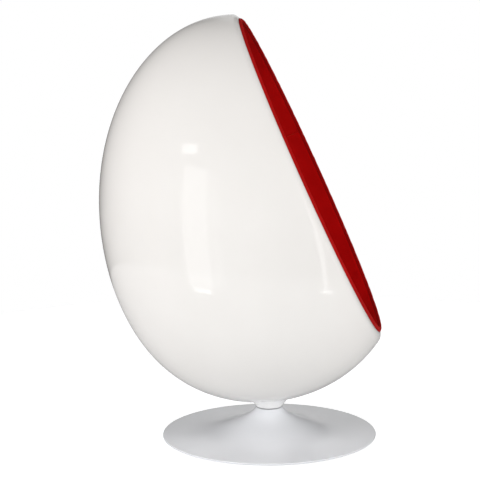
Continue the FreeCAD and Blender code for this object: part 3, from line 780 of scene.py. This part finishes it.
def swollen(obj, middle, facing):
    """The points of a cover after cloth simulation about its piped line, never inside its solid."""
    points = coordinates(obj)
    normals = read_vectors(obj.data.vertex_normals, "vector")
    height = (points - middle) @ facing
    start = points - np.outer(height, facing) * SLACK
    set_coordinates(obj, start)
    held = obj.vertex_groups.new(name="piped")
    held.add([int(i) for i in np.flatnonzero(np.abs(height) < PIPED_BAND)], 1.0, "REPLACE")
    cloth = obj.modifiers.new("cloth", "CLOTH")
    for key, value in CLOTH.items():
        setattr(cloth.settings, key, value)
    cloth.settings.effector_weights.gravity = 0
    for step in range(1, CLOTH_STEPS + 1):
        bpy.context.scene.frame_set(step)
    applied(obj)
    obj.vertex_groups.clear()
    moved = coordinates(obj) - start
    length = np.linalg.norm(moved, axis=1)[:, None]
    moved *= SWELL_LIMIT * np.tanh(length / SWELL_LIMIT) / np.maximum(length, SMALLEST_LENGTH)
    swelling = np.maximum(np.sum((start + moved - points) * normals, axis=1), 0)
    return points + normals * swelling[:, None]


def filled(obj, middle, facing, rest):
    remesh = obj.modifiers.new("remesh", "REMESH")
    remesh.mode = "VOXEL"
    remesh.voxel_size = VOXEL
    applied(obj)
    points = swollen(obj, middle, facing)
    set_coordinates(obj, rest(points))
    smooth = obj.modifiers.new("smooth", "SUBSURF")
    smooth.levels = 1
    smooth.render_levels = 1
    applied(obj)
    set_coordinates(obj, rest(coordinates(obj)))
    obj.data.shade_smooth()
    return obj


def inside_bowl(points, inset):
    """Points that lie outside an inset egg, drawn back onto it."""
    out = np.maximum(outside_by(points, polar_profile(inset)), 0)
    from_middle = points - middle_at
    return points - from_middle * (out / np.linalg.norm(from_middle, axis=1))[:, None]


def above_plane(points, place, normal):
    """Points below a plane, lifted square onto it."""
    low = np.minimum((points - place) @ normal, 0)
    return points - np.outer(low, normal)


def seat_rest(points):
    """Keeps the seat cushion on the platform, off the ledge's face and inside the bowl."""
    points = above_plane(points, (0, 0, platform_at(0, DECK_FACE + REST_GAP)), seat_up)
    points = above_plane(points, (0, LEDGE_FACE - DECK_FACE - LEDGE_CLEARANCE, 0), (0, -1.0, 0))
    return inside_bowl(points, LINING_FACE + REST_GAP)


def back_rest(points):
    """Keeps the back cushion on the ledge and inside the bowl."""
    points = above_plane(points, (0, 0, LEDGE_HEIGHT + DECK_FACE + REST_GAP), (0, 0, 1.0))
    return inside_bowl(points, LINING_FACE + BACK_REST_GAP)


def piping(name, size, placed):
    """A fabric-covered cord along a cushion's widest line, with its sewn flange turned in."""
    out = PIPING_RADIUS + PIPING_GAP
    half_x, half_y, corner, start, end = size
    loop = outline(half_x + out, half_y + out, corner + out, start, end)
    ahead = np.roll(loop, -1, axis=0) - np.roll(loop, 1, axis=0)
    ahead /= np.linalg.norm(ahead, axis=1)[:, None]
    side = np.stack((ahead[:, 1], -ahead[:, 0], np.zeros(len(loop))), axis=1)
    up = np.array((0, 0, 1.0))
    grid = []
    for i in range(len(loop)):
        for turn in np.linspace(0, 2 * math.pi, PIPING_SIDES, endpoint=False):
            flange = 1 + FLANGE_WIDTH * max(0.0, -math.cos(turn)) ** FLANGE_SHARPNESS
            offset = side[i] * math.cos(turn) * flange + up * math.sin(turn)
            grid.append(loop[i] + offset * PIPING_RADIUS)
    faces = grid_faces(len(loop), PIPING_SIDES, closed_rows=True)
    return outward(piece(name, placed(np.array(grid)), faces))


seat_up = np.array((0, math.sin(PLATFORM_RAKE), math.cos(PLATFORM_RAKE)))
seat_middle = seat_placed(np.zeros((1, 3)))[0]
seat_cushion = filled(outer_skin("seat_cushion_cover", "seat_cushion"), seat_middle, seat_up, seat_rest)
own(seat_cushion, "red_wool_cushion", "seat_cushion_cover", body="seat_cushion", fill=0.85)
seat_piping = piping("seat_piping", SEAT_SIZE, seat_placed)
own(seat_piping, "red_wool_piping", "seat_cushion_piping", body="seat_cushion")
back_forward = np.array((0, -math.cos(BACK_LEAN), math.sin(BACK_LEAN)))
back_cushion = filled(outer_skin("back_cushion_cover", "back_cushion"), BACK_MIDDLE, back_forward, back_rest)
own(back_cushion, "red_wool_cushion", "back_cushion_cover", body="back_cushion", fill=0.8)
back_piping = piping("back_piping", BACK_SIZE, back_placed)
own(back_piping, "red_wool_piping", "back_cushion_piping", body="back_cushion")


# Studio: a pale floor, a pale world and soft lamps

FLOOR_RADIUS = 1.9
FLOOR_SIDES = 96
# Light that only the camera sees, so that the floor looks white and still takes the shadow
FLOOR_GLOW = 0.60
floor_turns = [2 * math.pi * i / FLOOR_SIDES for i in range(FLOOR_SIDES)]
floor = piece(
    "studio_floor",
    [(FLOOR_RADIUS * math.cos(turn), FLOOR_RADIUS * math.sin(turn), 0) for turn in floor_turns],
    [tuple(range(FLOOR_SIDES))],
    smooth=False,
)
floor_look, floor_tree, floor_shader = material(
    "studio_floor", Roughness=0.25, Base_Color=(0.825, 0.84, 0.855, 1), Emission_Color=(1, 1, 1, 1)
)
seen = node(floor_tree, "ShaderNodeLightPath").outputs["Is Camera Ray"]
glow = math_node(floor_tree, "MULTIPLY", seen, FLOOR_GLOW)
floor_tree.links.new(glow, floor_shader.inputs["Emission Strength"])
floor.data.materials.append(floor_look)

world = bpy.data.worlds.new("studio")
bpy.context.scene.world = world
world.use_nodes = True
sky = world.node_tree
direction = node(sky, "ShaderNodeTexCoord").outputs["Generated"]
towards = node(sky, "ShaderNodeSeparateXYZ", {0: direction}).outputs


def fade(value, start, end, low, high):
    """A soft step from low to high as a value goes from start to end."""
    inputs = {0: value, 1: start, 2: end, 3: low, 4: high}
    return node(sky, "ShaderNodeMapRange", inputs, interpolation_type="SMOOTHSTEP").outputs[0]


def blend(share, low, high):
    """Low where the share is nothing, high where it is whole."""
    rise = math_node(sky, "MULTIPLY", share, math_node(sky, "SUBTRACT", high, low))
    return math_node(sky, "ADD", low, rise)


# The room on the camera's side is dim, and darker overhead; beyond the chair a pale sheet hangs in its middle
front = fade(towards[2], 0.45, 0.75, 0.28, 0.04)
behind = fade(towards[0], 0.0, 0.5, 0.0, 1.0)
sheet_width = fade(math_node(sky, "ABSOLUTE", towards[1]), 0.05, 0.18, 1.0, 0.0)
sheet = math_node(sky, "MULTIPLY", sheet_width, fade(towards[2], 0.45, 0.75, 1.0, 0.1))
above_floor = fade(towards[2], -0.12, -0.02, 0.1, 1.0)
level = math_node(sky, "MULTIPLY", above_floor, blend(behind, front, blend(sheet, 0.14, 0.80)))
seen = node(sky, "ShaderNodeLightPath").outputs["Is Camera Ray"]
sky.links.new(blend(seen, level, 1.0), sky.nodes["Background"].inputs["Strength"])
sky.nodes["Background"].inputs["Color"].default_value = (1, 1, 1, 1)


def area_light(name, place, rotation, wide, high, power, mirrored, tint=(1, 1, 1)):
    """A lamp that either shows in the gloss or lights the surfaces, and never shows itself."""
    data = bpy.data.lights.new(name, "AREA")
    data.shape = "RECTANGLE"
    data.size = wide
    data.size_y = high
    data.energy = power
    data.color = tint
    obj = bpy.data.objects.new(name, data)
    bpy.context.scene.collection.objects.link(obj)
    obj.location = place
    obj.rotation_euler = rotation
    obj.visible_camera = False
    obj.visible_glossy = mirrored
    obj.visible_diffuse = not mirrored


def lamp(name, left_deg, up_deg, distance, height, aim, wide, high, power, tint=(1, 1, 1)):
    """A soft box that looks at a point, so many degrees left of the camera's side and above the level."""
    left, up = math.radians(left_deg), math.radians(up_deg)
    place = Vector((
        -distance * math.cos(up) * math.cos(left),
        distance * math.cos(up) * math.sin(left),
        height + distance * math.sin(up),
    ))
    rotation = (Vector(aim) - place).to_track_quat("-Z", "Y").to_euler()
    area_light(name, place, rotation, wide, high, power, mirrored=False, tint=tint)


def strip(name, start, end, width, radiance):
    """A strip light between two points, facing the egg, for the gloss to mirror."""
    start, end = Vector(start), Vector(end)
    along = (end - start).normalized()
    place = (start + end) / 2
    back = place - EGG_MIDDLE
    back = (back - along * back.dot(along)).normalized()
    rotation = Matrix((along, back.cross(along), back)).transposed().to_euler()
    length = (end - start).length
    area_light(name, place, rotation, length, width, radiance * math.pi * length * width, mirrored=True)


# Mirrored by the shell: a strip box in its glow to the left, with a lit foot and a small box above it,
# and a thin one with its lit foot to the right
strip("left_strip", (-1.085, 0.757, 0.01), (-1.085, 0.757, 1.20), 0.36, 0.95)
strip("left_glow", (-1.130, 0.700, 0.05), (-1.130, 0.700, 1.20), 0.60, 0.5)
strip("left_foot", (-1.022, 0.880, 0.02), (-1.146, 0.636, 0.02), 0.04, 3.6)
strip("left_window", (-1.2415, 1.442, 1.6275), (-1.515, 1.154, 1.729), 0.155, 3.0)
strip("right_strip", (-0.88, -0.95, 0.10), (-1.06, -0.70, 1.20), 0.07, 1.8)
strip("right_foot", (-1.032, -0.992, 0.02), (-0.825, -1.132, 0.02), 0.04, 3.2)
# Light without a shape in the gloss
WARM = (1.0, 0.97, 0.965)
lamp("front_low", -2, 4, 7.4, 0.6, (0, 0.1, 0.4), 3.0, 1.2, 221)
lamp("front_high", -2, 50, 7.4, 0.6, (0, 0.1, 0.5), 3.4, 2.0, 112, WARM)
lamp("overhead", 0, 84, 3.6, 0.7, (0, 0.1, 1.0), 1.2, 1.2, 10, WARM)
lamp("left_front", 60, 8, 4.5, 0.7, (0, 0.1, 0.7), 1.6, 2.0, 72, WARM)
lamp("left_back", 105, 8, 3.6, 0.7, (0, 0.1, 0.7), 1.6, 2.0, 32, WARM)
lamp("right_front", -60, 10, 4.5, 0.7, (0, 0.1, 0.7), 1.6, 2.0, 37, WARM)
lamp("right_side", -90, 6, 4.0, 0.7, (0, 0.1, 0.7), 1.6, 2.0, 41, WARM)

# Camera: a long lens from the chair's right side, a little above

CAMERA_TURN = 0.0388
CAMERA_RISE = 0.1954
CAMERA_DISTANCE = 6.1425
CAMERA_ROLL = math.radians(-0.494)
CAMERA_TARGET = Vector((0, 0.0831, 0.5945))
CAMERA_LENS = 156.25
CAMERA_SENSOR = 36.0
CAMERA_REACH = 60
to_camera = Vector((
    -math.cos(CAMERA_RISE) * math.cos(CAMERA_TURN),
    -math.cos(CAMERA_RISE) * math.sin(CAMERA_TURN),
    math.sin(CAMERA_RISE),
))
camera_data = bpy.data.cameras.new("camera")
camera_data.lens = CAMERA_LENS
camera_data.sensor_width = CAMERA_SENSOR
camera_data.clip_end = CAMERA_REACH
camera = bpy.data.objects.new("camera", camera_data)
bpy.context.scene.collection.objects.link(camera)
camera.location = CAMERA_TARGET + to_camera * CAMERA_DISTANCE
look = (-to_camera).to_track_quat("-Z", "Y")
camera.rotation_euler = (look @ Quaternion((0, 0, 1), CAMERA_ROLL)).to_euler()
bpy.context.scene.camera = camera
bpy.context.scene.view_settings.view_transform = "Standard"
